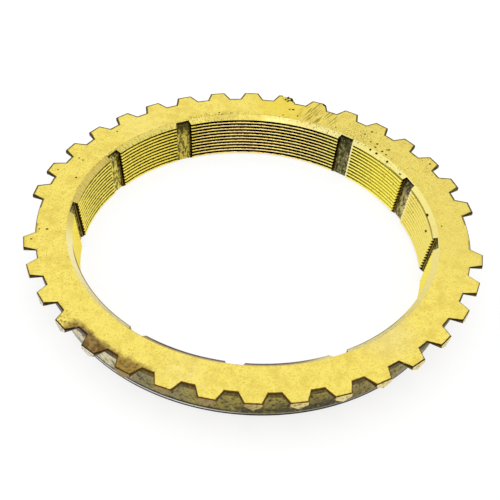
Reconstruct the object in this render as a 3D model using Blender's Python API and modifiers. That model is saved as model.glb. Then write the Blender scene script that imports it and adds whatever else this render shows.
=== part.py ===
"""Brass synchronizer ring: a turned ring with a toothed flange and a grooved friction cone.

Metres, +Z up. The ring stands on its small end, with its axis on Z and the small end's
face at Z = 0. The toothed flange is at the large end, on top. The two places that carry
no tooth lie on the X axis.
"""

import math

import bmesh
import bpy
from mathutils import Matrix, Vector

MM = 0.001

# The whole ring
RING_HEIGHT = 12.8 * MM
TURNED_STEPS = 108
SEAM_MERGE = 0.01 * MM
SHARP_EDGE_ANGLE = math.radians(20.0)

# Flange and its teeth
FLANGE_STEP = 2.5 * MM
FLANGE_THICKNESS = 1.6 * MM
FLANGE_FILLET = 0.6 * MM
FILLET_STEPS = 3
TOOTH_PLACES = 36
BARE_PLACES = (0, 18)
TOOTH_HEIGHT = 3.1 * MM
TOOTH_TIP_WIDTH = 4.15 * MM
TOOTH_ROOT_WIDTH = 6.9 * MM
TOOTH_FLANK_AT_ROOT = 0.28 * MM
TOOTH_POINT_ANGLE = math.radians(118.0)
TOOTH_SEAT = 1.0 * MM  # how far a tooth's block reaches into the ring

# Plain outside below the flange
END_WALL = 7.8 * MM
BODY_TAPER = 0.8 * MM
END_EDGE_CHAMFER = 0.5 * MM

# Friction cone in the bore
CONE_RADIUS_AT_END = 45.8 * MM
CONE_ANGLE = math.radians(7.8)
FACE_CHAMFER_DEPTH = 1.0 * MM
FACE_CHAMFER_WIDTH = 1.6 * MM
END_CHAMFER_DEPTH = 0.8 * MM
END_CHAMFER_WIDTH = 0.9 * MM
GROOVE_PITCH = 1.0 * MM
GROOVE_LAND = 0.16 * MM
GROOVE_ANGLE = math.radians(60.0)
GROOVE_ROUND_OFF = 0.001  # share of a groove that rounding may lose

# Oil slots along the cone, in groups, each slot midway between two tooth places
SLOT_GROUPS = 3
SLOTS_IN_GROUP = 3
SLOT_STEP_IN_PLACES = 3
FIRST_SLOT_IN_PLACES = -0.5
SLOT_DEPTH = 1.2 * MM
SLOT_FLOOR_WIDTH = 4.0 * MM
SLOT_MOUTH_WIDTH = 4.7 * MM
CUT_OVERRUN = 2.0 * MM

# Two tooth corners broken off by knocks: place, how far the break runs along the tip
# and down the flank, and its depth at the corner
KNOCKS = (
    (8, 2.2 * MM, 1.8 * MM, 0.55 * MM),
    (7, 0.5 * MM, 0.9 * MM, 0.7 * MM),
)
KNOCK_BLOCK = 8.0 * MM  # size of the cutter's block

BRASS_COLOUR = (0.76, 0.60, 0.16, 1.0)
BRASS_ROUGHNESS = 0.38

# Sizes that follow from those above
PLACE_ANGLE = 2.0 * math.pi / TOOTH_PLACES
BODY_RADIUS_AT_END = CONE_RADIUS_AT_END + END_WALL
BODY_RADIUS_AT_FLANGE = BODY_RADIUS_AT_END + BODY_TAPER
ROOT_RADIUS = BODY_RADIUS_AT_FLANGE + FLANGE_STEP
TIP_RADIUS = ROOT_RADIUS + TOOTH_HEIGHT
FLANGE_BOTTOM = RING_HEIGHT - FLANGE_THICKNESS
TOOTH_POINT_SLOPE = 1.0 / math.tan(TOOTH_POINT_ANGLE / 2.0)
TOOTH_RIDGE_DEPTH = TOOTH_FLANK_AT_ROOT + TOOTH_ROOT_WIDTH / 2.0 * TOOTH_POINT_SLOPE


def clear_scene():
    """Remove whatever the open file holds."""
    for thing in list(bpy.data.objects):
        bpy.data.objects.remove(thing, do_unlink=True)


def new_collection(name):
    """Add a collection to the scene."""
    collection = bpy.data.collections.new(name)
    bpy.context.scene.collection.children.link(collection)
    return collection


def new_object(name, mesh, collection):
    """Put a mesh into a collection as an object."""
    thing = bpy.data.objects.new(name, mesh)
    collection.objects.link(thing)
    return thing


def brass_material():
    """Machined brass, bright yellow and a little dull."""
    material = bpy.data.materials.new("machined_brass")
    material.use_nodes = True
    shader = material.node_tree.nodes["Principled BSDF"]
    shader.inputs["Base Color"].default_value = BRASS_COLOUR
    shader.inputs["Metallic"].default_value = 1.0
    shader.inputs["Roughness"].default_value = BRASS_ROUGHNESS
    return material


def cone_radius(height):
    """Radius of the friction cone, over the tops of its ridges."""
    return CONE_RADIUS_AT_END + (height - END_CHAMFER_DEPTH) * math.tan(CONE_ANGLE)


def fillet_points():
    """Hollow fillet where the body meets the underside of the flange, top to bottom."""
    centre_radius = BODY_RADIUS_AT_FLANGE + FLANGE_FILLET
    centre_height = FLANGE_BOTTOM - FLANGE_FILLET
    points = []
    for step in range(FILLET_STEPS + 1):
        turn = math.pi / 2.0 * (1.0 + step / FILLET_STEPS)
        points.append((centre_radius + FLANGE_FILLET * math.cos(turn),
                       centre_height + FLANGE_FILLET * math.sin(turn)))
    return points


def groove_points():
    """Grooved friction cone from the small end up to the face chamfer."""
    low = END_CHAMFER_DEPTH
    high = RING_HEIGHT - FACE_CHAMFER_DEPTH
    count = math.floor((high - low) / GROOVE_PITCH + GROOVE_ROUND_OFF)
    mouth = GROOVE_PITCH - GROOVE_LAND
    depth = mouth / 2.0 / math.tan(GROOVE_ANGLE / 2.0)
    points = [(cone_radius(low), low)]
    for groove in range(count):
        top = high - (count - 1 - groove) * GROOVE_PITCH
        bottom = top - mouth
        middle = (top + bottom) / 2.0
        points.append((cone_radius(bottom), bottom))
        points.append((cone_radius(middle) + depth, middle))
        points.append((cone_radius(top), top))
    return points


def ring_profile():
    """Half section of the turned ring, as a closed loop of radius and height."""
    face_chamfer_radius = cone_radius(RING_HEIGHT - FACE_CHAMFER_DEPTH) + FACE_CHAMFER_WIDTH
    outside = [(ROOT_RADIUS, RING_HEIGHT), (ROOT_RADIUS, FLANGE_BOTTOM)]
    outside += fillet_points()
    outside.append((BODY_RADIUS_AT_END, END_EDGE_CHAMFER))
    outside.append((BODY_RADIUS_AT_END - END_EDGE_CHAMFER, 0.0))
    end_face = [(cone_radius(END_CHAMFER_DEPTH) + END_CHAMFER_WIDTH, 0.0)]
    top_face = [(face_chamfer_radius, RING_HEIGHT)]
    return outside + end_face + groove_points() + top_face


def turned_ring(collection):
    """Turn the half section about Z, and shade it smooth between its turned edges.

    Half a step's turn keeps the edges between its facets off the middle lines of the teeth.
    """
    points = ring_profile()
    count = len(points)
    edges = [(index, (index + 1) % count) for index in range(count)]
    section = bpy.data.meshes.new("turned_section")
    section.from_pydata([(radius, 0.0, height) for radius, height in points], edges, [])
    blank = new_object("turned_section", section, collection)
    screw = blank.modifiers.new("Turned section", "SCREW")
    screw.axis = "Z"
    screw.angle = 2.0 * math.pi
    screw.steps = TURNED_STEPS
    screw.render_steps = TURNED_STEPS
    screw.use_merge_vertices = True
    screw.merge_threshold = SEAM_MERGE
    turned = blank.evaluated_get(bpy.context.evaluated_depsgraph_get())
    mesh = bpy.data.meshes.new_from_object(turned)
    mesh.name = "synchronizer_ring"
    mesh.transform(Matrix.Rotation(math.pi / TURNED_STEPS, 4, "Z"))
    mesh.shade_smooth()
    mesh.set_sharp_from_angle(angle=SHARP_EDGE_ANGLE)
    bpy.data.objects.remove(blank)
    return new_object("synchronizer_ring", mesh, collection)


def cut_block(bm, planes):
    """Add a unit cube, cut through along each plane given as a point and a normal."""
    block = bmesh.ops.create_cube(bm, size=1.0)
    verts = set(block["verts"])
    for point, normal in planes:
        faces = {face for vert in verts for face in vert.link_faces}
        edges = {edge for vert in verts for edge in vert.link_edges}
        cut = bmesh.ops.bisect_plane(
            bm, geom=list(verts) + list(edges) + list(faces), plane_co=point, plane_no=normal)
        verts |= {item for item in cut["geom"] if isinstance(item, bmesh.types.BMVert)}
    return verts


def tooth_corner(unit):
    """Where a corner of the unit block lies on a tooth that points along +X."""
    seated = ROOT_RADIUS * math.cos(TOOTH_ROOT_WIDTH / 2.0 / ROOT_RADIUS)
    tip = math.sqrt(TIP_RADIUS ** 2 - (TOOTH_TIP_WIDTH / 2.0) ** 2)
    row = round(2.0 * unit.x)
    if row > 0:
        reach, width = tip, TOOTH_TIP_WIDTH
    elif row == 0:
        reach, width = seated, TOOTH_ROOT_WIDTH
    else:
        reach, width = BODY_RADIUS_AT_FLANGE - TOOTH_SEAT, TOOTH_ROOT_WIDTH
    across = unit.y * width
    drop = TOOTH_RIDGE_DEPTH - abs(across) * TOOTH_POINT_SLOPE
    height = RING_HEIGHT if unit.z > 0.0 else RING_HEIGHT - drop
    return Vector((reach, across, height))


def tooth_set(collection):
    """All the teeth: tapered in plan, and pointed below like a roof turned over."""
    bm = bmesh.new()
    for place in range(TOOTH_PLACES):
        if place in BARE_PLACES:
            continue
        verts = cut_block(bm, [((0.0, 0.0, 0.0), (1.0, 0.0, 0.0)),
                               ((0.0, 0.0, 0.0), (0.0, 1.0, 0.0))])
        turn = Matrix.Rotation(place * PLACE_ANGLE, 3, "Z")
        for vert in verts:
            vert.co = turn @ tooth_corner(vert.co.copy())
    mesh = bpy.data.meshes.new("tooth_set")
    bm.to_mesh(mesh)
    bm.free()
    return new_object("tooth_set", mesh, collection)


def slot_corner(unit):
    """Where a corner of the unit block lies on a slot cutter that points along +X."""
    height = unit.z * (RING_HEIGHT + 2.0 * CUT_OVERRUN) + RING_HEIGHT / 2.0
    floor = cone_radius(height) + SLOT_DEPTH
    widening = (SLOT_MOUTH_WIDTH - SLOT_FLOOR_WIDTH) / SLOT_DEPTH
    if unit.x > 0.0:
        return Vector((floor, unit.y * SLOT_FLOOR_WIDTH, height))
    depth = SLOT_DEPTH + CUT_OVERRUN
    return Vector((floor - depth, unit.y * (SLOT_FLOOR_WIDTH + widening * depth), height))


def slot_cutters(collection):
    """Cutters for the oil slots."""
    bm = bmesh.new()
    for group in range(SLOT_GROUPS):
        for slot in range(SLOTS_IN_GROUP):
            place = FIRST_SLOT_IN_PLACES + slot * SLOT_STEP_IN_PLACES
            angle = place * PLACE_ANGLE + group * 2.0 * math.pi / SLOT_GROUPS
            turn = Matrix.Rotation(angle, 3, "Z")
            for vert in bmesh.ops.create_cube(bm, size=1.0)["verts"]:
                vert.co = turn @ slot_corner(vert.co.copy())
    mesh = bpy.data.meshes.new("slot_cutters")
    bm.to_mesh(mesh)
    bm.free()
    return new_object("slot_cutters", mesh, collection)


def knock_cutters(collection):
    """Blocks that break the corners off the knocked teeth, each along a slanting plane."""
    bm = bmesh.new()
    half_tip = TOOTH_TIP_WIDTH / 2.0
    flank_lean = (TOOTH_ROOT_WIDTH - TOOTH_TIP_WIDTH) / 2.0 / TOOTH_HEIGHT
    for place, along_tip, along_flank, depth in KNOCKS:
        corner = Vector((TIP_RADIUS, -half_tip, RING_HEIGHT - depth))
        on_tip = Vector((TIP_RADIUS, along_tip - half_tip, RING_HEIGHT))
        on_flank = Vector((TIP_RADIUS - along_flank, -half_tip - flank_lean * along_flank,
                           RING_HEIGHT))
        first = (on_tip - corner).normalized()
        up = first.cross(on_flank - corner).normalized()
        if up.z < 0.0:
            up = -up
        second = up.cross(first)
        middle = (corner + on_tip + on_flank) / 3.0 + up * KNOCK_BLOCK / 2.0
        axes = Matrix((first, second, up)).transposed()
        turn = Matrix.Rotation(place * PLACE_ANGLE, 3, "Z")
        for vert in bmesh.ops.create_cube(bm, size=KNOCK_BLOCK)["verts"]:
            vert.co = turn @ (middle + axes @ vert.co)
    bmesh.ops.recalc_face_normals(bm, faces=bm.faces)
    mesh = bpy.data.meshes.new("knock_cutters")
    bm.to_mesh(mesh)
    bm.free()
    return new_object("knock_cutters", mesh, collection)


def add_boolean(thing, tool, operation):
    """Join a tool to an object, or cut it away, and keep the tool out of sight."""
    boolean = thing.modifiers.new(tool.name, "BOOLEAN")
    boolean.operation = operation
    boolean.solver = "EXACT"
    boolean.object = tool
    tool.hide_render = True
    tool.display_type = "WIRE"


def build():
    """Build the ring."""
    clear_scene()
    parts = new_collection("Synchronizer ring")
    cutters = new_collection("Cutters")
    ring = turned_ring(parts)
    add_boolean(ring, tooth_set(cutters), "UNION")
    add_boolean(ring, slot_cutters(cutters), "DIFFERENCE")
    add_boolean(ring, knock_cutters(cutters), "DIFFERENCE")
    ring.data.materials.append(brass_material())


build()
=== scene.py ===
import math
import random

import bmesh
import bpy
from mathutils import Matrix, Vector


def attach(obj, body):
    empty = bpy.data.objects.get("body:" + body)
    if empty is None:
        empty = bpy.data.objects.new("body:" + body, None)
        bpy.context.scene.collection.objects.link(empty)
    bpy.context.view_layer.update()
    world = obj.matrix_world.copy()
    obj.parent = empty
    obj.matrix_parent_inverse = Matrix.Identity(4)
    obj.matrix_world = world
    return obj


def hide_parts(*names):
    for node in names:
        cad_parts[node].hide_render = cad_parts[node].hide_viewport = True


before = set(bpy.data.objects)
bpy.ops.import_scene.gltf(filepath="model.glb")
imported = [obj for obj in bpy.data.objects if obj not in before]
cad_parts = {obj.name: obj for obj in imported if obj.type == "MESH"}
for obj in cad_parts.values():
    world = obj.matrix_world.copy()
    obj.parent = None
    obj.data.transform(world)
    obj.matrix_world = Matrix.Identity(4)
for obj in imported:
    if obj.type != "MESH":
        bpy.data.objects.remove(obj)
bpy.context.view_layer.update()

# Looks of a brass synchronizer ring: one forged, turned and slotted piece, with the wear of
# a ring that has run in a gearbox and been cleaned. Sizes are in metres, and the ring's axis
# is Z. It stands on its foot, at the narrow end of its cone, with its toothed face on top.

MM = 0.001
RING_NODE = "synchronizer_ring"

# The ring's sizes, the same as in the solid
RING_HEIGHT = 12.8 * MM
FLANGE_THICKNESS = 1.6 * MM
FLANGE_FILLET = 0.6 * MM
FLANGE_BOTTOM = RING_HEIGHT - FLANGE_THICKNESS
CONE_RADIUS_AT_END = 45.8 * MM
CONE_ANGLE = math.radians(7.8)
BODY_RADIUS_AT_END = 53.6 * MM
BODY_RADIUS_AT_FLANGE = 54.4 * MM
ROOT_RADIUS = 56.9 * MM
TIP_RADIUS = 60.0 * MM
END_EDGE_CHAMFER = 0.5 * MM
FACE_CHAMFER_DEPTH = 1.0 * MM
FACE_CHAMFER_WIDTH = 1.6 * MM
END_CHAMFER_DEPTH = 0.8 * MM
END_CHAMFER_WIDTH = 0.9 * MM
GROOVES = 11
GROOVE_PITCH = 1.0 * MM
GROOVE_LAND = 0.16 * MM
GROOVE_HALF_ANGLE = math.radians(30.0)
GROOVE_DEPTH = (GROOVE_PITCH - GROOVE_LAND) / 2.0 / math.tan(GROOVE_HALF_ANGLE)

# Teeth all round, apart from the bare places. A tooth's block is seated inside the body, and
# its taper starts a little inside the rim
TOOTH_PLACES = 36
BARE_PLACES = (0, 18)
PLACE_ANGLE = 2.0 * math.pi / TOOTH_PLACES
TOOTH_TIP_WIDTH = 4.15 * MM
TOOTH_ROOT_WIDTH = 6.9 * MM
TOOTH_FLANK_AT_ROOT = 0.28 * MM
TOOTH_POINT_SLOPE = 1.0 / math.tan(math.radians(59.0))
TOOTH_RIDGE_DEPTH = TOOTH_FLANK_AT_ROOT + TOOTH_ROOT_WIDTH / 2.0 * TOOTH_POINT_SLOPE
TOOTH_SEAT = 1.0 * MM
TOOTH_SINK = 0.4 * MM

# Oil slots in groups, each slot so many tooth places round from the start of its group
SLOT_PLACES = (-0.5, 2.5, 5.5)
SLOT_GROUPS = 3
SLOT_STEP = 3.0 * PLACE_ANGLE
SLOT_DEPTH = 1.2 * MM
SLOT_FLOOR_WIDTH = 4.0 * MM
SLOT_MOUTH_WIDTH = 4.7 * MM
CUT_OVERRUN = 2.0 * MM

# How finely the looks are turned. The part turn keeps facet edges off the teeth's corners
TURNED_STEPS = 360
TURNED_OFFSET = math.radians(0.25)
FILLET_STEPS = 6
EDGE_BREAK = 0.2 * MM
WELD_DISTANCE = 0.002 * MM
SHARP_ANGLE = math.radians(20.0)

# How nearly a face points straight up or down to count as level, or outwards as a slot's floor
LEVEL = 0.99
OUTWARD = 0.7

# Finishes, in the order of the ring's material slots
(FACED, CHAMFERED, GROOVED, SLOT_FLOOR, SLOT_WALL, BLANK, FLANK, TOOTH_END,
 BRUISED, EDGES) = range(10)


def ring_point(azimuth, radius, height):
    """A point on the ring, from its azimuth in degrees."""
    angle = math.radians(azimuth)
    return Vector((radius * math.cos(angle), radius * math.sin(angle), height))


def cone_radius(height):
    """Radius of the friction cone, over the tops of its ridges."""
    return CONE_RADIUS_AT_END + (height - END_CHAMFER_DEPTH) * math.tan(CONE_ANGLE)


def new_object(name, data):
    """Put a mesh, a lamp or a camera into the scene as an object."""
    thing = bpy.data.objects.new(name, data)
    bpy.context.scene.collection.objects.link(thing)
    return thing


def object_from(bm, name):
    """Put what has been built in a bmesh into the scene as an object."""
    mesh = bpy.data.meshes.new(name)
    bm.to_mesh(mesh)
    bm.free()
    return new_object(name, mesh)


# Shapes

def ring_profile():
    """Half section of the turned ring: radius, height and finish of the strip that follows."""
    face_chamfer_radius = cone_radius(RING_HEIGHT - FACE_CHAMFER_DEPTH) + FACE_CHAMFER_WIDTH
    rows = [(ROOT_RADIUS, RING_HEIGHT, FLANK), (ROOT_RADIUS, FLANGE_BOTTOM, BLANK)]
    for step in range(FILLET_STEPS + 1):
        turn = math.pi / 2.0 * (1.0 + step / FILLET_STEPS)
        rows.append((BODY_RADIUS_AT_FLANGE + FLANGE_FILLET * (1.0 + math.cos(turn)),
                     FLANGE_BOTTOM - FLANGE_FILLET * (1.0 - math.sin(turn)), BLANK))
    rows.append((BODY_RADIUS_AT_END, END_EDGE_CHAMFER, BLANK))
    rows.append((BODY_RADIUS_AT_END - END_EDGE_CHAMFER, 0.0, FACED))
    rows.append((cone_radius(END_CHAMFER_DEPTH) + END_CHAMFER_WIDTH, 0.0, CHAMFERED))
    rows.append((cone_radius(END_CHAMFER_DEPTH), END_CHAMFER_DEPTH, GROOVED))
    mouth = GROOVE_PITCH - GROOVE_LAND
    for groove in range(GROOVES):
        top = RING_HEIGHT - FACE_CHAMFER_DEPTH - (GROOVES - 1 - groove) * GROOVE_PITCH
        rows.append((cone_radius(top - mouth), top - mouth, GROOVED))
        rows.append((cone_radius(top - mouth / 2.0) + GROOVE_DEPTH, top - mouth / 2.0, GROOVED))
        rows.append((cone_radius(top), top, CHAMFERED if groove == GROOVES - 1 else GROOVED))
    rows.append((face_chamfer_radius, RING_HEIGHT, FACED))
    return rows


def turned_ring():
    """The turned ring without teeth or slots, each strip in its own finish."""
    rows = ring_profile()
    bm = bmesh.new()
    loops = []
    for radius, height, _ in rows:
        loop = []
        for step in range(TURNED_STEPS):
            angle = TURNED_OFFSET + step * 2.0 * math.pi / TURNED_STEPS
            loop.append(bm.verts.new((radius * math.cos(angle), radius * math.sin(angle), height)))
        loops.append(loop)
    for row, (_, _, finish) in enumerate(rows):
        here = loops[row]
        below = loops[(row + 1) % len(rows)]
        for step in range(TURNED_STEPS):
            after = (step + 1) % TURNED_STEPS
            face = bm.faces.new((here[step], below[step], below[after], here[after]))
            face.material_index = finish
    bmesh.ops.recalc_face_normals(bm, faces=bm.faces)
    return object_from(bm, "turned_ring")


def tooth_corner(row, side, level):
    """Corner of a tooth that points along +X. Rows run outwards, side is -1, 0 or 1."""
    tip = math.sqrt(TIP_RADIUS ** 2 - (TOOTH_TIP_WIDTH / 2.0) ** 2)
    root = ROOT_RADIUS * math.cos(TOOTH_ROOT_WIDTH / 2.0 / ROOT_RADIUS)
    inner = BODY_RADIUS_AT_FLANGE - TOOTH_SEAT
    lean = (TOOTH_ROOT_WIDTH - TOOTH_TIP_WIDTH) / 2.0 / (tip - root)
    sunk = root - TOOTH_SINK
    reach = (inner, sunk, tip)[row]
    half = TOOTH_TIP_WIDTH / 2.0 + lean * (tip - max(reach, sunk))
    drop = TOOTH_RIDGE_DEPTH - half * abs(side) * TOOTH_POINT_SLOPE
    return Vector((reach, side * half, RING_HEIGHT - (drop if level else 0.0)))


def tooth_set():
    """All the teeth: tapered in plan, and pointed below like a roof turned over."""
    bm = bmesh.new()
    for place in range(TOOTH_PLACES):
        if place in BARE_PLACES:
            continue
        turn = Matrix.Rotation(place * PLACE_ANGLE, 3, "Z")
        at = {}
        for row in range(3):
            for side in (-1, 0, 1):
                for level in (0, 1):
                    at[row, side, level] = bm.verts.new(turn @ tooth_corner(row, side, level))
        for side in (-1, 0):
            for row in (0, 1):
                top = bm.faces.new((at[row, side, 0], at[row + 1, side, 0],
                                    at[row + 1, side + 1, 0], at[row, side + 1, 0]))
                top.material_index = FACED
                under = bm.faces.new((at[row, side + 1, 1], at[row + 1, side + 1, 1],
                                      at[row + 1, side, 1], at[row, side, 1]))
                under.material_index = BLANK
            for row in (0, 2):
                end = bm.faces.new((at[row, side, 0], at[row, side + 1, 0],
                                    at[row, side + 1, 1], at[row, side, 1]))
                end.material_index = TOOTH_END
        for side in (-1, 1):
            for row in (0, 1):
                flank = bm.faces.new((at[row, side, 0], at[row, side, 1],
                                      at[row + 1, side, 1], at[row + 1, side, 0]))
                flank.material_index = FLANK
    bmesh.ops.recalc_face_normals(bm, faces=bm.faces)
    return object_from(bm, "tooth_set")


def slot_cutters():
    """Cutters for the oil slots that run along the cone."""
    widening = (SLOT_MOUTH_WIDTH - SLOT_FLOOR_WIDTH) / SLOT_DEPTH
    bm = bmesh.new()
    for group in range(SLOT_GROUPS):
        for place in SLOT_PLACES:
            angle = place * PLACE_ANGLE + group * 2.0 * math.pi / SLOT_GROUPS
            turn = Matrix.Rotation(angle, 3, "Z")
            cube = bmesh.ops.create_cube(bm, size=1.0)
            for vert in cube["verts"]:
                height = vert.co.z * (RING_HEIGHT + 2.0 * CUT_OVERRUN) + RING_HEIGHT / 2.0
                reach = cone_radius(height) + SLOT_DEPTH
                width = SLOT_FLOOR_WIDTH
                if vert.co.x < 0.0:
                    reach -= SLOT_DEPTH + CUT_OVERRUN
                    width += widening * (SLOT_DEPTH + CUT_OVERRUN)
                vert.co = turn @ Vector((reach, vert.co.y * width, height))
    bm.normal_update()
    for face in bm.faces:
        middle = face.calc_center_median()
        outward = Vector((middle.x, middle.y, 0.0)).normalized()
        face.material_index = SLOT_FLOOR if face.normal.dot(outward) > OUTWARD else SLOT_WALL
    return object_from(bm, "slot_cutters")


# Knocks at the teeth's corners and pits in the face: azimuth in degrees, then radius and size
# across in millimetres
KNOCKS = (
    (80.4, 59.9, 1.0), (79.8, 59.8, 1.2), (78.9, 59.3, 1.4), (78.2, 59.7, 1.6),
    (77.6, 58.7, 1.7), (77.0, 57.8, 1.4), (76.6, 57.1, 0.9), (68.1, 59.7, 1.3),
    (67.5, 58.6, 0.9), (17.3, 59.2, 1.1), (16.7, 58.2, 0.9),
)
PITS = (
    (153.0, 54.7, 0.6), (153.2, 53.3, 0.5), (160.3, 57.3, 0.6), (161.5, 51.2, 0.6),
    (185.6, 53.8, 0.6), (189.2, 57.9, 0.6), (185.5, 55.9, 0.5), (37.2, 49.9, 0.6),
    (29.5, 57.9, 0.6), (2.5, 50.2, 0.5), (101.2, 50.0, 0.6), (77.6, 53.4, 0.9),
    (76.6, 53.6, 0.8), (74.5, 50.9, 0.6), (79.3, 50.1, 0.5), (51.3, 52.8, 0.6),
    (50.8, 53.8, 0.5), (50.4, 55.2, 0.7), (49.1, 55.7, 0.5), (45.5, 51.7, 0.8),
    (41.4, 51.7, 0.6), (41.0, 52.2, 0.7), (44.8, 50.1, 0.6), (41.8, 50.1, 0.7),
    (39.9, 49.9, 0.6), (43.5, 52.6, 0.5), (47.6, 51.2, 0.6), (57.5, 50.2, 0.5),
    (60.8, 50.6, 0.5), (64.0, 50.0, 0.6), (148.3, 51.0, 0.5), (136.0, 54.5, 0.5),
)

# The lumps that bite them out: how far a lump's middle stands above the face as a share of its
# size, then the least and most that it is stretched, flattened and made uneven
LUMP_SEED = 5
LUMP_RISE = 0.05
LUMP_STRETCH = (0.9, 1.4)
LUMP_FLATTENING = (0.7, 1.0)
LUMP_UNEVENNESS = (0.86, 1.1)


def bruise_cutters():
    """Small rough lumps that bite the knocks and pits out of the toothed face."""
    rng = random.Random(LUMP_SEED)
    bm = bmesh.new()
    for azimuth, radius, size in KNOCKS + PITS:
        centre = ring_point(azimuth, radius * MM, RING_HEIGHT + LUMP_RISE * size * MM)
        turn = Matrix.Rotation(rng.uniform(0.0, math.pi), 4, "Z")
        stretch = Matrix.Diagonal((rng.uniform(*LUMP_STRETCH), 1.0,
                                   rng.uniform(*LUMP_FLATTENING), 1.0))
        place = Matrix.Translation(centre) @ turn @ stretch
        lump = bmesh.ops.create_icosphere(bm, subdivisions=2, radius=size / 2.0 * MM, matrix=place)
        for vert in lump["verts"]:
            away = vert.co - centre
            vert.co = centre + away * rng.uniform(*LUMP_UNEVENNESS)
    for face in bm.faces:
        face.material_index = BRUISED
    return object_from(bm, "bruise_cutters")


def break_edges(bm):
    """Take the sharp edge off the outline of the face, the teeth's corners and the foot."""
    chosen = []
    for edge in bm.edges:
        if len(edge.link_faces) != 2:
            continue
        finishes = {face.material_index for face in edge.link_faces}
        level = [face for face in edge.link_faces if abs(face.normal.z) > LEVEL]
        if len(level) != 1 or level[0].material_index != FACED:
            continue
        if finishes & {BLANK, FLANK, TOOTH_END}:
            chosen.append(edge)
    bmesh.ops.bevel(bm, geom=chosen, offset=EDGE_BREAK, segments=2, affect="EDGES",
                    clamp_overlap=False, material=EDGES, profile=0.5)


def finished_ring(finishes):
    """The whole ring: turned, toothed, slotted, bruised, and its edges broken."""
    ring = turned_ring()
    for tool, operation in ((tooth_set(), "UNION"), (slot_cutters(), "DIFFERENCE"),
                            (bruise_cutters(), "DIFFERENCE")):
        for finish in finishes:
            tool.data.materials.append(finish)
        boolean = ring.modifiers.new(tool.name, "BOOLEAN")
        boolean.operation = operation
        boolean.solver = "EXACT"
        boolean.material_mode = "INDEX"
        # Of the three tools, only the lumps overlap one another
        boolean.use_self = tool.name == "bruise_cutters"
        boolean.object = tool
    for finish in finishes:
        ring.data.materials.append(finish)
    cut = ring.evaluated_get(bpy.context.evaluated_depsgraph_get())
    mesh = bpy.data.meshes.new_from_object(cut)
    for thing in [ring] + [modifier.object for modifier in ring.modifiers]:
        bpy.data.objects.remove(thing)
    bm = bmesh.new()
    bm.from_mesh(mesh)
    bmesh.ops.remove_doubles(bm, verts=bm.verts, dist=WELD_DISTANCE)
    break_edges(bm)
    bm.to_mesh(mesh)
    bm.free()
    mesh.shade_smooth()
    mesh.set_sharp_from_angle(angle=SHARP_ANGLE)
    mesh.name = "brass_ring"
    return new_object("brass_ring", mesh)


# Finishes

# Nearly all of a noise lies between these two levels
CLOUD_LOW = 0.35
CLOUD_HIGH = 0.65

# Specks of dirt on the face's chamfer: azimuth in degrees and radius in millimetres, and the
# height in millimetres that they all lie at
CHAMFER_SPECKS = ((45.3, 48.5), (42.6, 48.5), (37.3, 48.3), (33.2, 47.5))
SPECK_HEIGHT = 12.4


def linear(colour):
    """An sRGB hex colour as a linear colour, by the sRGB standard's own formula."""
    shares = [int(colour[start:start + 2], 16) / 255.0 for start in (1, 3, 5)]
    made = [share / 12.92 if share <= 0.04045 else ((share + 0.055) / 1.055) ** 2.4
            for share in shares]
    return (*made, 1.0)


def add_node(tree, kind, sockets=None, **settings):
    """Add a node, make its settings, and set its sockets or link them to what feeds them."""
    made = tree.nodes.new(kind)
    for name, value in settings.items():
        setattr(made, name, value)
    for socket, value in (sockets or {}).items():
        if isinstance(value, bpy.types.NodeSocket):
            tree.links.new(value, made.inputs[socket])
        else:
            made.inputs[socket].default_value = value
    return made


def start_brass(name):
    """A brass to finish: its material, its shader, and the place on the ring in mm."""
    material = bpy.data.materials.new(name)
    material.use_nodes = True
    tree = material.node_tree
    shader = tree.nodes["Principled BSDF"]
    shader.inputs["Metallic"].default_value = 1.0
    place = add_node(tree, "ShaderNodeTexCoord").outputs["Object"]
    place = add_node(tree, "ShaderNodeVectorMath", {0: place, "Scale": 1.0 / MM},
                     operation="SCALE").outputs[0]
    return material, tree, shader, place


def patches(tree, place, size, low, high):
    """Patches about size mm across, 0 below the low level of their noise and 1 above the high."""
    noise = add_node(tree, "ShaderNodeTexNoise",
                     {"Vector": place, "Scale": 1.0 / size, "Detail": 2.0, "Roughness": 0.6})
    return add_node(tree, "ShaderNodeMapRange", {0: noise.outputs[0], 1: low, 2: high},
                    interpolation_type="SMOOTHSTEP").outputs[0]


def toward(tree, place, azimuth, near, far):
    """1 within near degrees of that side of the ring, falling to 0 at far degrees."""
    plan = add_node(tree, "ShaderNodeVectorMath", {0: place, 1: (1.0, 1.0, 0.0)},
                    operation="MULTIPLY").outputs[0]
    outward = add_node(tree, "ShaderNodeVectorMath", {0: plan}, operation="NORMALIZE").outputs[0]
    side = add_node(tree, "ShaderNodeVectorMath", {0: outward, 1: ring_point(azimuth, 1.0, 0.0)},
                    operation="DOT_PRODUCT").outputs[1]
    return add_node(tree, "ShaderNodeMapRange",
                    {0: side, 1: math.cos(math.radians(far)), 2: math.cos(math.radians(near))},
                    interpolation_type="SMOOTHSTEP").outputs[0]


def near_spot(tree, place, azimuth, radius, inner, outer, height=RING_HEIGHT / MM):
    """1 within inner mm of a spot, on the face unless a height is given, 0 at outer mm."""
    spot = ring_point(azimuth, radius, height)
    away = add_node(tree, "ShaderNodeVectorMath", {0: place, 1: spot},
                    operation="DISTANCE").outputs[1]
    return add_node(tree, "ShaderNodeMapRange", {0: away, 1: outer, 2: inner},
                    interpolation_type="SMOOTHSTEP").outputs[0]


def wandering(tree, place, distance, wander, size, low, high):
    """A distance with up to wander mm added to it in patches, for an edge that isn't even."""
    return add_node(tree, "ShaderNodeMath",
                    {0: patches(tree, place, size, low, high), 1: wander, 2: distance},
                    operation="MULTIPLY_ADD").outputs[0]


def radius_at(tree, place):
    """Distance from the ring's axis, in mm."""
    plan = add_node(tree, "ShaderNodeVectorMath", {0: place, 1: (1.0, 1.0, 0.0)},
                    operation="MULTIPLY").outputs[0]
    return add_node(tree, "ShaderNodeVectorMath", {0: plan}, operation="LENGTH").outputs[1]


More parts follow.
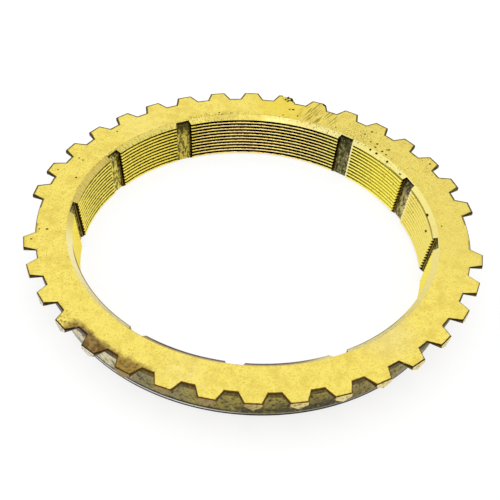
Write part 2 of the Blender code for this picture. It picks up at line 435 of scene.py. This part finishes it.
def depth_at(tree, place):
    """How deep a point lies behind the ridges of the friction cone, in mm."""
    height = add_node(tree, "ShaderNodeSeparateXYZ", {0: place}).outputs[2]
    slope = math.tan(CONE_ANGLE)
    radius_at_foot = (CONE_RADIUS_AT_END - END_CHAMFER_DEPTH * slope) / MM
    ridge = add_node(tree, "ShaderNodeMath", {0: height, 1: slope, 2: radius_at_foot},
                     operation="MULTIPLY_ADD").outputs[0]
    return add_node(tree, "ShaderNodeMath", {0: radius_at(tree, place), 1: ridge},
                    operation="SUBTRACT").outputs[0]


def azimuth_at(tree, place):
    """Azimuth round the ring's axis, in radians."""
    across = add_node(tree, "ShaderNodeSeparateXYZ", {0: place}).outputs
    return add_node(tree, "ShaderNodeMath", {0: across[1], 1: across[0]},
                    operation="ARCTAN2").outputs[0]


def aside_at(tree, place):
    """Azimuth from the middle of the nearest tooth, in radians."""
    return add_node(tree, "ShaderNodeMath",
                    {0: azimuth_at(tree, place), 1: PLACE_ANGLE / 2.0, 2: -PLACE_ANGLE / 2.0},
                    operation="WRAP").outputs[0]


def room_to_outline(tree, place):
    """How far in from the toothed outline a point of the face lies, in mm."""
    radius = radius_at(tree, place)
    aside = aside_at(tree, place)
    reach = add_node(tree, "ShaderNodeMath", {0: aside}, operation="COSINE").outputs[0]
    reach = add_node(tree, "ShaderNodeMath", {0: reach, 1: radius}, operation="MULTIPLY").outputs[0]
    sideways = add_node(tree, "ShaderNodeMath", {0: aside}, operation="SINE").outputs[0]
    sideways = add_node(tree, "ShaderNodeMath", {0: sideways, 1: radius},
                        operation="MULTIPLY").outputs[0]
    sideways = add_node(tree, "ShaderNodeMath", {0: sideways}, operation="ABSOLUTE").outputs[0]
    tip = TIP_RADIUS / MM
    lean = (TOOTH_ROOT_WIDTH - TOOTH_TIP_WIDTH) / 2.0 / (TIP_RADIUS - ROOT_RADIUS)
    half_at_axis = TOOTH_TIP_WIDTH / 2.0 / MM + lean * tip
    half = add_node(tree, "ShaderNodeMath", {0: reach, 1: -lean, 2: half_at_axis},
                    operation="MULTIPLY_ADD").outputs[0]
    beside = add_node(tree, "ShaderNodeMath", {0: half, 1: sideways},
                      operation="SUBTRACT").outputs[0]
    beside = add_node(tree, "ShaderNodeMath", {0: beside, 1: math.cos(math.atan(lean))},
                      operation="MULTIPLY").outputs[0]
    ahead = add_node(tree, "ShaderNodeMath", {0: tip, 1: reach}, operation="SUBTRACT").outputs[0]
    in_tooth = add_node(tree, "ShaderNodeMath", {0: beside, 1: ahead},
                        operation="MINIMUM").outputs[0]
    in_ring = add_node(tree, "ShaderNodeMath", {0: ROOT_RADIUS / MM, 1: radius},
                       operation="SUBTRACT").outputs[0]
    return add_node(tree, "ShaderNodeMath", {0: in_tooth, 1: in_ring},
                    operation="MAXIMUM").outputs[0]


def streaks(tree, place, angle, length, width, low, high):
    """Parallel marks on the face, at that angle in degrees, about length by width mm each."""
    along = add_node(tree, "ShaderNodeMapping",
                     {"Vector": place, "Rotation": (0.0, 0.0, math.radians(angle)),
                      "Scale": (length, width, 1.0)}, vector_type="TEXTURE").outputs[0]
    return patches(tree, along, 1.0, low, high)


def cross_marks(tree, place, spacing, low, high):
    """Marks that run out from the bore, about spacing mm apart, as a tool leaves on a chamfer."""
    arc = add_node(tree, "ShaderNodeMath", {0: azimuth_at(tree, place), 1: BODY_RADIUS_AT_END / MM},
                   operation="MULTIPLY").outputs[0]
    spread = add_node(tree, "ShaderNodeCombineXYZ", {0: arc, 1: radius_at(tree, place)}).outputs[0]
    length = 4.0 * spacing
    return streaks(tree, spread, 90.0, length, spacing, low, high)


def painted(tree, base, coats):
    """A base colour with coats over it, each a colour and the shares of it that show."""
    colour = linear(base)
    for coat, cover, *shares in coats:
        for share in shares:
            cover = add_node(tree, "ShaderNodeMath", {0: cover, 1: share},
                             operation="MULTIPLY").outputs[0]
        colour = add_node(tree, "ShaderNodeMix", {0: cover, 6: colour, 7: linear(coat)},
                          data_type="RGBA").outputs[2]
    return colour


def surface(tree, shader, place, colour, smooth, rough, size, depth):
    """Wire the colour, a roughness from smooth to rough, and a relief of a size and depth in mm."""
    tree.links.new(colour, shader.inputs["Base Color"])
    # The roughness wanders over patches wider than the relief's grains
    cloud = add_node(tree, "ShaderNodeTexNoise",
                     {"Vector": place, "Scale": 0.4 / size, "Detail": 3.0}).outputs[0]
    roughness = add_node(tree, "ShaderNodeMapRange",
                         {0: cloud, 1: CLOUD_LOW, 2: CLOUD_HIGH, 3: smooth, 4: rough}).outputs[0]
    tree.links.new(roughness, shader.inputs["Roughness"])
    relief = add_node(tree, "ShaderNodeTexNoise",
                      {"Vector": place, "Scale": 1.0 / size, "Detail": 3.0}).outputs[0]
    bump = add_node(tree, "ShaderNodeBump",
                    {"Height": relief, "Distance": depth * MM, "Strength": 1.0}).outputs[0]
    tree.links.new(bump, shader.inputs["Normal"])


def faced_brass():
    """Brass faced on a lathe, then handled: bright yellow, finely mottled, with dark specks."""
    material, tree, shader, place = start_brass("faced_brass")
    radius = radius_at(tree, place)
    chamfer_edge = cone_radius(RING_HEIGHT - FACE_CHAMFER_DEPTH) / MM + FACE_CHAMFER_WIDTH / MM
    near_bore = add_node(tree, "ShaderNodeMapRange",
                         {0: radius, 1: chamfer_edge + 2.4, 2: chamfer_edge + 0.3},
                         interpolation_type="SMOOTHSTEP").outputs[0]
    chamfer_line = add_node(tree, "ShaderNodeMath", {0: radius, 1: chamfer_edge, 2: 0.22},
                            operation="COMPARE").outputs[0]
    # The outline is drawn dark, in a thin line that comes and goes
    room = wandering(tree, place, room_to_outline(tree, place), 0.10, 0.8, 0.35, 0.65)
    rim = add_node(tree, "ShaderNodeMapRange", {0: room, 1: 0.70, 2: 0.54},
                   interpolation_type="SMOOTHSTEP").outputs[0]
    near_rim = add_node(tree, "ShaderNodeMapRange", {0: room, 1: 0.44, 2: 0.34},
                        interpolation_type="SMOOTHSTEP").outputs[0]
    # A dark brown patch lies along the outer edge, over two teeth
    patch_edge = wandering(tree, place, radius, 0.8, 2.0, 0.3, 0.7)
    dark_patch = add_node(tree, "ShaderNodeMapRange", {0: patch_edge, 1: 55.4, 2: 57.6},
                     interpolation_type="SMOOTHSTEP").outputs[0]
    patch_side = toward(tree, place, -126.0, 8.0, 14.0)
    # Specks and scratches are drawn coarser than they are, so that they show
    colour = painted(tree, "#FFEB72", (
        # Mottling, and areas paler or deeper than the rest
        ("#E4CB58", patches(tree, place, 0.42, 0.46, 0.72)),
        ("#FFF2A0", patches(tree, place, 0.50, 0.56, 0.78), 0.6),
        ("#E6CB5A", patches(tree, place, 3.0, 0.42, 0.72), 0.6),
        # Painted light: a pale patch at the top left, where the light falls on the face
        ("#FFF0A0", near_spot(tree, place, 128.0, 52.0, 2.0, 11.0), 0.2),
        ("#F4E2A0", near_spot(tree, place, -50.0, 48.5, 1.0, 11.0), 0.4),
        ("#FFF0A2", near_spot(tree, place, -107.0, 54.0, 1.0, 9.0),
         patches(tree, place, 1.6, 0.40, 0.66), 0.5),
        ("#F3D93C", near_spot(tree, place, 80.0, 54.5, 3.0, 12.0), 0.55),
        # Painted shade: the right side of the face deeper, where less light falls
        ("#E9D670", toward(tree, place, 25.0, 25.0, 55.0), 0.4),
        ("#C9B250", patches(tree, place, 0.55, 0.52, 0.68),
         toward(tree, place, 32.0, 20.0, 45.0), 0.45),
        # Specks of dirt, thicker on some sides
        ("#6E5A22", patches(tree, place, 0.36, 0.71, 0.76), 0.2),
        ("#4A3A12", patches(tree, place, 0.34, 0.64, 0.68), toward(tree, place, 44.0, 14.0, 34.0)),
        ("#6E5A22", patches(tree, place, 0.38, 0.64, 0.70),
         toward(tree, place, 175.0, 20.0, 50.0), 0.8),
        # Black at the corners of two knocked teeth
        ("#120A02", patches(tree, place, 0.75, 0.50, 0.53),
         near_spot(tree, place, 78.5, 59.2, 1.8, 2.8)),
        ("#120A02", near_spot(tree, place, 68.1, 59.5, 0.6, 0.9)),
        # Specks beside the bore
        ("#4A3A12", patches(tree, place, 0.44, 0.59, 0.63),
         near_spot(tree, place, 53.0, 51.0, 2.5, 6.0), 0.9),
        ("#5E4C1C", patches(tree, place, 0.33, 0.60, 0.66), near_bore,
         toward(tree, place, 72.0, 20.0, 45.0), 0.85),
        ("#3A2A0C", patches(tree, place, 0.38, 0.57, 0.61), near_bore,
         toward(tree, place, 104.0, 6.0, 12.0)),
        # Slanting scratches
        ("#94802C", streaks(tree, place, 54.0, 6.0, 0.46, 0.50, 0.61),
         near_spot(tree, place, 68.0, 54.6, 4.0, 8.0), 0.85),
        # The dark brown patch
        ("#987838", dark_patch, patch_side, 0.9),
        ("#65492E", dark_patch, toward(tree, place, -131.5, 5.0, 9.0), 0.75),
        ("#B89C60", dark_patch, patch_side, patches(tree, place, 1.5, 0.46, 0.66), 0.5),
        ("#5A4424", dark_patch, toward(tree, place, -129.0, 12.0, 18.0),
         patches(tree, place, 0.7, 0.50, 0.64), 0.6),
        # Dark lines along the outline and the chamfer's edge
        ("#544816", rim, toward(tree, place, 90.0, 75.0, 115.0), 0.95),
        ("#6E5612", near_rim, toward(tree, place, -90.0, 55.0, 80.0), 0.8),
        ("#B49A48", patches(tree, place, 0.5, 0.40, 0.60), chamfer_line,
         toward(tree, place, 120.0, 30.0, 60.0)),
    ))
    surface(tree, shader, place, colour, smooth=0.32, rough=0.42, size=0.5, depth=0.02)
    return material


def chamfered_brass():
    """The turned chamfers at the bore: cream where the light catches, with marks of the tool."""
    material, tree, shader, place = start_brass("chamfered_brass")
    radius = radius_at(tree, place)
    # Bands of the chamfer, each so many mm out from its inner edge
    inner = cone_radius(RING_HEIGHT - FACE_CHAMFER_DEPTH) / MM
    rim = add_node(tree, "ShaderNodeMapRange", {0: radius, 1: inner + 1.05, 2: inner + 0.75},
                   interpolation_type="SMOOTHSTEP").outputs[0]
    inner_line = add_node(tree, "ShaderNodeMapRange", {0: radius, 1: inner + 0.35, 2: inner + 0.20},
                          interpolation_type="SMOOTHSTEP").outputs[0]
    outer_half = add_node(tree, "ShaderNodeMapRange", {0: radius, 1: inner + 0.5, 2: inner + 1.3},
                          interpolation_type="SMOOTHSTEP").outputs[0]
    specks = [("#140C04", near_spot(tree, place, azimuth, speck_radius, 0.25, 0.5, SPECK_HEIGHT))
              for azimuth, speck_radius in CHAMFER_SPECKS]
    colour = painted(tree, "#EDDC73", (
        # Sides that catch more or less of the light
        ("#C8B85C", toward(tree, place, 92.0, 7.0, 18.0)),
        ("#EBE092", toward(tree, place, 62.0, 10.0, 18.0)),
        ("#E3D183", toward(tree, place, 76.0, 4.0, 12.0)),
        ("#EEE38A", toward(tree, place, 24.0, 16.0, 30.0)),
        ("#DCC668", toward(tree, place, 162.0, 14.0, 26.0)),
        ("#C2A45A", toward(tree, place, -100.0, 15.0, 35.0)),
        ("#FFF0A4", toward(tree, place, -48.0, 16.0, 28.0)),
        ("#FFF2B4", toward(tree, place, -150.0, 16.0, 28.0)),
        ("#F4E48C", toward(tree, place, -16.0, 20.0, 34.0)),
        # Marks of the tool, and specks of dirt
        ("#A58C3C", cross_marks(tree, place, 0.55, 0.52, 0.64),
         toward(tree, place, 140.0, 25.0, 45.0), 0.6),
        ("#B09A4A", cross_marks(tree, place, 0.40, 0.55, 0.64), outer_half,
         toward(tree, place, 66.0, 10.0, 25.0), 0.8),
        ("#2E200A", patches(tree, place, 0.66, 0.64, 0.67), toward(tree, place, 48.0, 16.0, 30.0)),
        ("#3E2E0E", patches(tree, place, 0.42, 0.63, 0.67), outer_half,
         toward(tree, place, 60.0, 14.0, 26.0)),
        ("#140C04", near_spot(tree, place, 8.8, 47.4, 0.5, 0.8, height=12.0)),
        ("#6A5624", patches(tree, place, 0.34, 0.68, 0.74)),
        ("#7A6428", patches(tree, place, 0.36, 0.58, 0.64),
         toward(tree, place, 122.0, 20.0, 36.0), 0.8),
        # Dark lines along the chamfer's edges
        ("#2A1406", rim, toward(tree, place, -98.0, 16.0, 30.0)),
        ("#6E5A16", inner_line, toward(tree, place, 16.0, 12.0, 26.0), 0.8),
        ("#3A2C10", inner_line, toward(tree, place, -146.0, 14.0, 24.0), 0.8),
        ("#5E5022", inner_line, toward(tree, place, -62.0, 16.0, 26.0), 0.8),
        *specks,
    ))
    surface(tree, shader, place, colour, smooth=0.26, rough=0.36, size=0.5, depth=0.03)
    return material


def grooved_brass():
    """The friction cone's turned grooves: bright ridges, with painted shade and dirt dark in the
    grooves.
    """
    material, tree, shader, place = start_brass("grooved_brass")
    height = add_node(tree, "ShaderNodeSeparateXYZ", {0: place}).outputs[2]
    # Painted shade and dirt fill the grooves nearly to their ridges on the far side, and lie deeper
    # elsewhere
    depth = wandering(tree, place, depth_at(tree, place), 0.12, 0.7, 0.3, 0.7)
    shade_and_dirt = add_node(tree, "ShaderNodeMapRange", {0: depth, 1: 0.17, 2: 0.22},
                    interpolation_type="SMOOTHSTEP").outputs[0]
    deep_shade_and_dirt = add_node(tree, "ShaderNodeMapRange", {0: depth, 1: 0.29, 2: 0.35},
                         interpolation_type="SMOOTHSTEP").outputs[0]
    # A painted highlight runs along one side of the slots
    from_slot = add_node(tree, "ShaderNodeMath",
                         {0: azimuth_at(tree, place), 1: SLOT_PLACES[0] * PLACE_ANGLE},
                         operation="SUBTRACT").outputs[0]
    from_slot = add_node(tree, "ShaderNodeMath",
                         {0: from_slot, 1: SLOT_STEP / 2.0, 2: -SLOT_STEP / 2.0},
                         operation="WRAP").outputs[0]
    from_slot = add_node(tree, "ShaderNodeMath", {0: from_slot, 1: radius_at(tree, place)},
                         operation="MULTIPLY").outputs[0]
    highlight_line = -SLOT_MOUTH_WIDTH / 2.0 / MM - 0.1
    slot_edge_highlight = add_node(tree, "ShaderNodeMath", {0: from_slot, 1: highlight_line, 2: 0.25},
                    operation="COMPARE").outputs[0]
    top_ridge = (RING_HEIGHT - FACE_CHAMFER_DEPTH) / MM
    top_groove = add_node(tree, "ShaderNodeMath", {0: height, 1: top_ridge - 0.55},
                          operation="GREATER_THAN").outputs[0]
    far_side = toward(tree, place, 88.0, 19.0, 40.0)
    right_side = toward(tree, place, 16.0, 20.0, 38.0)
    colour = painted(tree, "#FFE850", (
        # Ridges painted lighter as the light falls: creamy on the far side and bright yellow on the
        # left and right
        ("#FFEA8E", toward(tree, place, 76.0, 20.0, 36.0)),
        ("#F8DA94", patches(tree, place, 4.0, 0.35, 0.65), toward(tree, place, 96.0, 10.0, 26.0)),
        ("#FFEE68", toward(tree, place, 136.0, 14.0, 30.0), 0.8),
        ("#FFF06C", toward(tree, place, 158.0, 8.0, 16.0), 0.8),
        ("#FFF678", toward(tree, place, 42.0, 12.0, 24.0), 0.85),
        ("#E0C654", patches(tree, place, 0.6, 0.4, 0.7), 0.35),
        # Painted shade and dirt in the grooves, from brown to black, heavier on some sides as the
        # light falls
        ("#6E5206", deep_shade_and_dirt),
        ("#281800", deep_shade_and_dirt, toward(tree, place, 142.0, 24.0, 46.0), 0.85),
        ("#241400", deep_shade_and_dirt, toward(tree, place, 46.0, 12.0, 22.0), 0.85),
        ("#2C1A00", shade_and_dirt, toward(tree, place, 157.0, 8.0, 15.0), 0.36),
        ("#0C0500", shade_and_dirt, far_side),
        # Painted light on the right, where the light reaches into the grooves, apart from the top
        # groove
        ("#FFF264", right_side, 0.62),
        ("#E8D488", toward(tree, place, 11.0, 9.0, 16.0), 0.4),
        ("#2A1E06", deep_shade_and_dirt, top_groove, toward(tree, place, 36.0, 22.0, 34.0)),
        # Specks, painted highlights along the slots, and one pit
        ("#3C2C0C", patches(tree, place, 0.45, 0.69, 0.74)),
        ("#2C200A", patches(tree, place, 0.40, 0.64, 0.69), toward(tree, place, 125.0, 15.0, 30.0)),
        ("#2C200A", patches(tree, place, 0.44, 0.63, 0.68), toward(tree, place, 30.0, 10.0, 20.0)),
        ("#FFF6CC", slot_edge_highlight, toward(tree, place, 55.0, 10.0, 18.0), 0.85),
        ("#FFF6CC", slot_edge_highlight, toward(tree, place, 25.0, 8.0, 14.0), 0.5),
        ("#140C04", near_spot(tree, place, 5.1, 46.9, 0.35, 0.6, height=9.0)),
    ))
    surface(tree, shader, place, colour, smooth=0.26, rough=0.36, size=0.4, depth=0.02)
    return material


def slot_floor_brass():
    """Oil slots left as forged: olive and matt, streaked lengthways, darker at the toothed end."""
    material, tree, shader, place = start_brass("forged_slot_floor_brass")
    height = add_node(tree, "ShaderNodeSeparateXYZ", {0: place}).outputs[2]
    top_end = add_node(tree, "ShaderNodeMapRange", {0: height, 1: 7.5, 2: 11.0},
                       interpolation_type="SMOOTHSTEP").outputs[0]
    lip = add_node(tree, "ShaderNodeMapRange", {0: height, 1: 11.7, 2: 12.1},
                   interpolation_type="SMOOTHSTEP").outputs[0]
    # Patches are drawn out along the slot
    drawn = add_node(tree, "ShaderNodeMapping", {"Vector": place, "Scale": (1.0, 1.0, 2.2)},
                     vector_type="TEXTURE").outputs[0]
    rightmost = toward(tree, place, 25.0, 6.0, 12.0)
    colour = painted(tree, "#D6C45C", (
        ("#F0E06C", toward(tree, place, 145.0, 8.0, 15.0)),
        ("#D2C284", toward(tree, place, 25.0, 8.0, 15.0)),
        ("#747450", toward(tree, place, 55.0, 8.0, 15.0)),
        ("#443A12", patches(tree, drawn, 0.62, 0.46, 0.56), 0.85),
        ("#E2D67E", patches(tree, drawn, 0.45, 0.55, 0.70), 0.7),
        ("#2E2818", patches(tree, place, 0.7, 0.38, 0.60), top_end, 0.9),
        ("#2A2616", patches(tree, place, 0.6, 0.46, 0.56), rightmost, 0.15),
        ("#4A3E1C", top_end, toward(tree, place, 115.0, 6.0, 12.0), 0.75),
        ("#3A3220", top_end, rightmost, 0.5),
        ("#1C160A", lip, 0.9),
    ))
    surface(tree, shader, place, colour, smooth=0.42, rough=0.58, size=0.6, depth=0.06)
    return material


def slot_wall_brass():
    """Slot walls: painted shade, nearly black, and lighter in a band near the slot's floor."""
    material, tree, shader, place = start_brass("shaded_slot_wall_brass")
    lighter_band = add_node(tree, "ShaderNodeMath", {0: depth_at(tree, place), 1: 0.96, 2: 0.15},
                         operation="COMPARE").outputs[0]
    # Painted shade: the walls are drawn nearly black, as they lie in shadow
    colour = painted(tree, "#1E1606", (
        ("#4A3C18", patches(tree, place, 0.7, 0.55, 0.72), 0.7),
        ("#A08C48", lighter_band, patches(tree, place, 1.2, 0.30, 0.55), 0.85),
    ))
    surface(tree, shader, place, colour, smooth=0.35, rough=0.55, size=0.5, depth=0.04)
    return material


def blank_brass():
    """The forged blank's own skin on the outside: dull olive and dirty, painted pale on one side as
    the light falls.
    """
    material, tree, shader, place = start_brass("forged_blank_brass")
    # Bands that run round the outside, each at its height in mm above the foot
    height = add_node(tree, "ShaderNodeSeparateXYZ", {0: place}).outputs[2]
    low = add_node(tree, "ShaderNodeMapRange", {0: height, 1: 7.0, 2: 2.5},
                   interpolation_type="SMOOTHSTEP").outputs[0]
    high = add_node(tree, "ShaderNodeMapRange", {0: height, 1: 6.2, 2: 7.8},
                    interpolation_type="SMOOTHSTEP").outputs[0]
    foot_line = add_node(tree, "ShaderNodeMapRange", {0: height, 1: 1.05, 2: 0.90},
                         interpolation_type="SMOOTHSTEP").outputs[0]
    pale_line = add_node(tree, "ShaderNodeMath", {0: height, 1: 1.25, 2: 0.20},
                         operation="COMPARE").outputs[0]
    dark_line = add_node(tree, "ShaderNodeMath", {0: height, 1: 1.80, 2: 0.35},
                         operation="COMPARE").outputs[0]
    # Painted light and shade: the skin is lighter between the teeth than under them, which shade it
    aside = add_node(tree, "ShaderNodeMath", {0: aside_at(tree, place)},
                     operation="ABSOLUTE").outputs[0]
    between = add_node(tree, "ShaderNodeMapRange",
                       {0: aside, 1: 0.10 * PLACE_ANGLE, 2: 0.45 * PLACE_ANGLE},
                       interpolation_type="SMOOTHSTEP").outputs[0]
    colour = painted(tree, "#A2924A", (
        # A grey side, and a dark front low down, painted as the light falls; and mottling
        ("#8E8A74", toward(tree, place, -118.0, 5.0, 16.0), 0.6),
        ("#3C3A30", toward(tree, place, -79.0, 10.0, 22.0), low, 0.9),
        ("#A89A3C", patches(tree, place, 0.9, 0.50, 0.68), 0.6),
        ("#4A4020", patches(tree, place, 0.7, 0.46, 0.64), 0.75),
        ("#231C10", patches(tree, place, 1.5, 0.54, 0.68), 0.75),
        # Painted light between the teeth
        ("#B8AC5C", between, patches(tree, place, 0.9, 0.36, 0.60),
         toward(tree, place, -101.0, 12.0, 20.0), 0.4),
        ("#A89E80", between, patches(tree, place, 1.3, 0.36, 0.62),
         toward(tree, place, -52.0, 8.0, 18.0), 0.5),
        # Painted light, pale on one side, with painted shade under the flange above it and dirt in
        # spots
        ("#ECE4BC", patches(tree, place, 2.2, 0.30, 0.50),
         toward(tree, place, -138.0, 4.0, 19.0), 0.9),
        ("#8A7C54", patches(tree, place, 0.8, 0.52, 0.66),
         toward(tree, place, -138.0, 8.0, 19.0), 0.6),
        ("#5E5440", high, patches(tree, place, 0.8, 0.30, 0.50),
         toward(tree, place, -138.0, 12.0, 20.0), 0.8),
        # Pale and dark lines round the foot
        ("#9C988E", pale_line, patches(tree, place, 4.0, 0.25, 0.45), 0.8),
        ("#DCDCDC", pale_line, toward(tree, place, -122.0, 12.0, 34.0)),
        ("#1C1812", dark_line, toward(tree, place, -118.0, 18.0, 30.0), 0.8),
        ("#14100C", foot_line),
    ))
    surface(tree, shader, place, colour, smooth=0.40, rough=0.56, size=0.7, depth=0.05)
    return material


def flank_brass():
    """Pressed tooth flanks and the flange between them: brown and dirty, darkest at the edge."""
    material, tree, shader, place = start_brass("pressed_flank_brass")
    height = add_node(tree, "ShaderNodeSeparateXYZ", {0: place}).outputs[2]
    under_edge = add_node(tree, "ShaderNodeMapRange", {0: height, 1: 12.0, 2: 12.5},
                          interpolation_type="SMOOTHSTEP").outputs[0]
    colour = painted(tree, "#6E6030", (
        # Painted light: paler and greyer toward the left, where the light falls
        ("#857488", toward(tree, place, -138.0, 6.0, 14.0), 0.8),
        ("#6A5C5E", toward(tree, place, 180.0, 30.0, 45.0)),
        ("#3C3214", patches(tree, place, 0.7, 0.44, 0.64), 0.8),
        ("#9A8A46", patches(tree, place, 0.6, 0.58, 0.72), 0.6),
        ("#2E240E", under_edge, 0.8),
    ))
    surface(tree, shader, place, colour, smooth=0.40, rough=0.56, size=0.6, depth=0.04)
    return material


def tooth_end_brass():
    """The teeth's turned ends: tan, painted bright on the right and pale on the left as the light
    falls.
    """
    material, tree, shader, place = start_brass("turned_tooth_end_brass")
    colour = painted(tree, "#CDB876", (
        ("#9C8A62", toward(tree, place, -108.0, 12.0, 22.0)),
        ("#E6D898", toward(tree, place, -50.0, 20.0, 40.0)),
        ("#E2DCCC", toward(tree, place, -142.0, 14.0, 20.0)),
        ("#7C6434", patches(tree, place, 0.6, 0.48, 0.64), 0.7),
    ))
    surface(tree, shader, place, colour, smooth=0.34, rough=0.48, size=0.5, depth=0.03)
    return material


def bruised_brass():
    """Knocked and pitted spots: torn metal with dirt rubbed in, nearly black and rough."""
    material, tree, shader, place = start_brass("bruised_brass")
    colour = painted(tree, "#120C02", (
        ("#E6D680", patches(tree, place, 0.70, 0.55, 0.58)),
        ("#120C02", near_spot(tree, place, 68.1, 59.6, 0.9, 1.3)),
    ))
    surface(tree, shader, place, colour, smooth=0.45, rough=0.65, size=0.3, depth=0.06)
    return material


def edge_brass():
    """Broken edges: a thin dark line, lighter here and there."""
    material, tree, shader, place = start_brass("broken_edge_brass")
    colour = painted(tree, "#2A1C06", (
        ("#6A4408", toward(tree, place, -92.0, 22.0, 40.0), 0.8),
        ("#8E7A38", patches(tree, place, 0.9, 0.60, 0.72)),
    ))
    surface(tree, shader, place, colour, smooth=0.40, rough=0.55, size=0.5, depth=0.02)
    return material


# Studio and camera

WHITE = (1.0, 1.0, 1.0, 1.0)
WORLD_LIGHT = 0.95
FLOOR_COLOUR = "#949494"
FLOOR_GLOW = 0.76
FLOOR_SIDE = 3000.0 * MM
# Round soft lamps that point at the ring: name, width, watts, and place in millimetres
SOFTBOXES = (
    ("left_softbox", 900.0 * MM, 0.4, (-620.0, 200.0, 550.0)),
    ("top_softbox", 500.0 * MM, 0.7, (0.0, -220.0, 900.0)),
)

# The camera as worked out from the ring's outline in the photograph: its lens and sensor width
# in millimetres, its shift and clipping, the way it is turned, and its place in millimetres
LENS = 75.29521
SENSOR_WIDTH = 36.0
SHIFT = 0.104024
NEAREST = 0.01
FURTHEST = 10.0
CAMERA_RIGHT = (0.9991243566, 0.0346951481, 0.0233830449)
CAMERA_UP = (-0.0408184972, 0.6856148786, 0.7268191581)
CAMERA_BACK = (0.0091853348, -0.7271371844, 0.6864307282)
CAMERA_PLACE = (-11.535722528, -205.885037730, 196.897714426)


def studio():
    """White light all round, a white floor, and two soft lamps, high on the left and above."""
    world = bpy.data.worlds.new("soft_studio")
    bpy.context.scene.world = world
    world.use_nodes = True
    background = world.node_tree.nodes["Background"]
    background.inputs["Color"].default_value = WHITE
    background.inputs["Strength"].default_value = WORLD_LIGHT

    bpy.ops.mesh.primitive_plane_add(size=FLOOR_SIDE)
    floor = bpy.context.object
    floor.name = "floor"
    # White card, matt. The camera and reflections see it as white, and it keeps the shadow
    material = bpy.data.materials.new("white_card_floor")
    material.use_nodes = True
    tree = material.node_tree
    shader = tree.nodes["Principled BSDF"]
    shader.inputs["Base Color"].default_value = linear(FLOOR_COLOUR)
    shader.inputs["Roughness"].default_value = 0.9
    shader.inputs["Specular IOR Level"].default_value = 0.0
    shader.inputs["Emission Color"].default_value = WHITE
    path = add_node(tree, "ShaderNodeLightPath").outputs
    seen = add_node(tree, "ShaderNodeMath", {0: path["Is Camera Ray"], 1: path["Is Glossy Ray"]},
                    operation="MAXIMUM").outputs[0]
    seen = add_node(tree, "ShaderNodeMath", {0: seen, 1: path["Is Transmission Ray"]},
                    operation="MAXIMUM").outputs[0]
    glow = add_node(tree, "ShaderNodeMath", {0: seen, 1: FLOOR_GLOW},
                    operation="MULTIPLY").outputs[0]
    tree.links.new(glow, shader.inputs["Emission Strength"])
    floor.data.materials.append(material)

    for name, across, watts, place in SOFTBOXES:
        data = bpy.data.lights.new(name, "AREA")
        data.shape = "DISK"
        data.size = across
        data.energy = watts
        lamp = new_object(name, data)
        lamp.location = Vector(place) * MM
        lamp.rotation_mode = "QUATERNION"
        lamp.rotation_quaternion = (-lamp.location).to_track_quat("-Z", "Y")


def camera():
    """The camera where the photograph was taken from, whose frame is cut off centre."""
    data = bpy.data.cameras.new("camera")
    data.sensor_width = SENSOR_WIDTH
    data.lens = LENS
    data.shift_x = SHIFT
    data.clip_start = NEAREST
    data.clip_end = FURTHEST
    made = new_object("camera", data)
    pose = Matrix((CAMERA_RIGHT, CAMERA_UP, CAMERA_BACK)).transposed().to_4x4()
    pose.translation = Vector(CAMERA_PLACE) * MM
    made.matrix_world = pose
    bpy.context.scene.camera = made


bpy.context.scene.view_settings.view_transform = "Standard"
ring = finished_ring([faced_brass(), chamfered_brass(), grooved_brass(), slot_floor_brass(),
                      slot_wall_brass(), blank_brass(), flank_brass(), tooth_end_brass(),
                      bruised_brass(), edge_brass()])
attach(ring, "root")
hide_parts(RING_NODE)
studio()
camera()
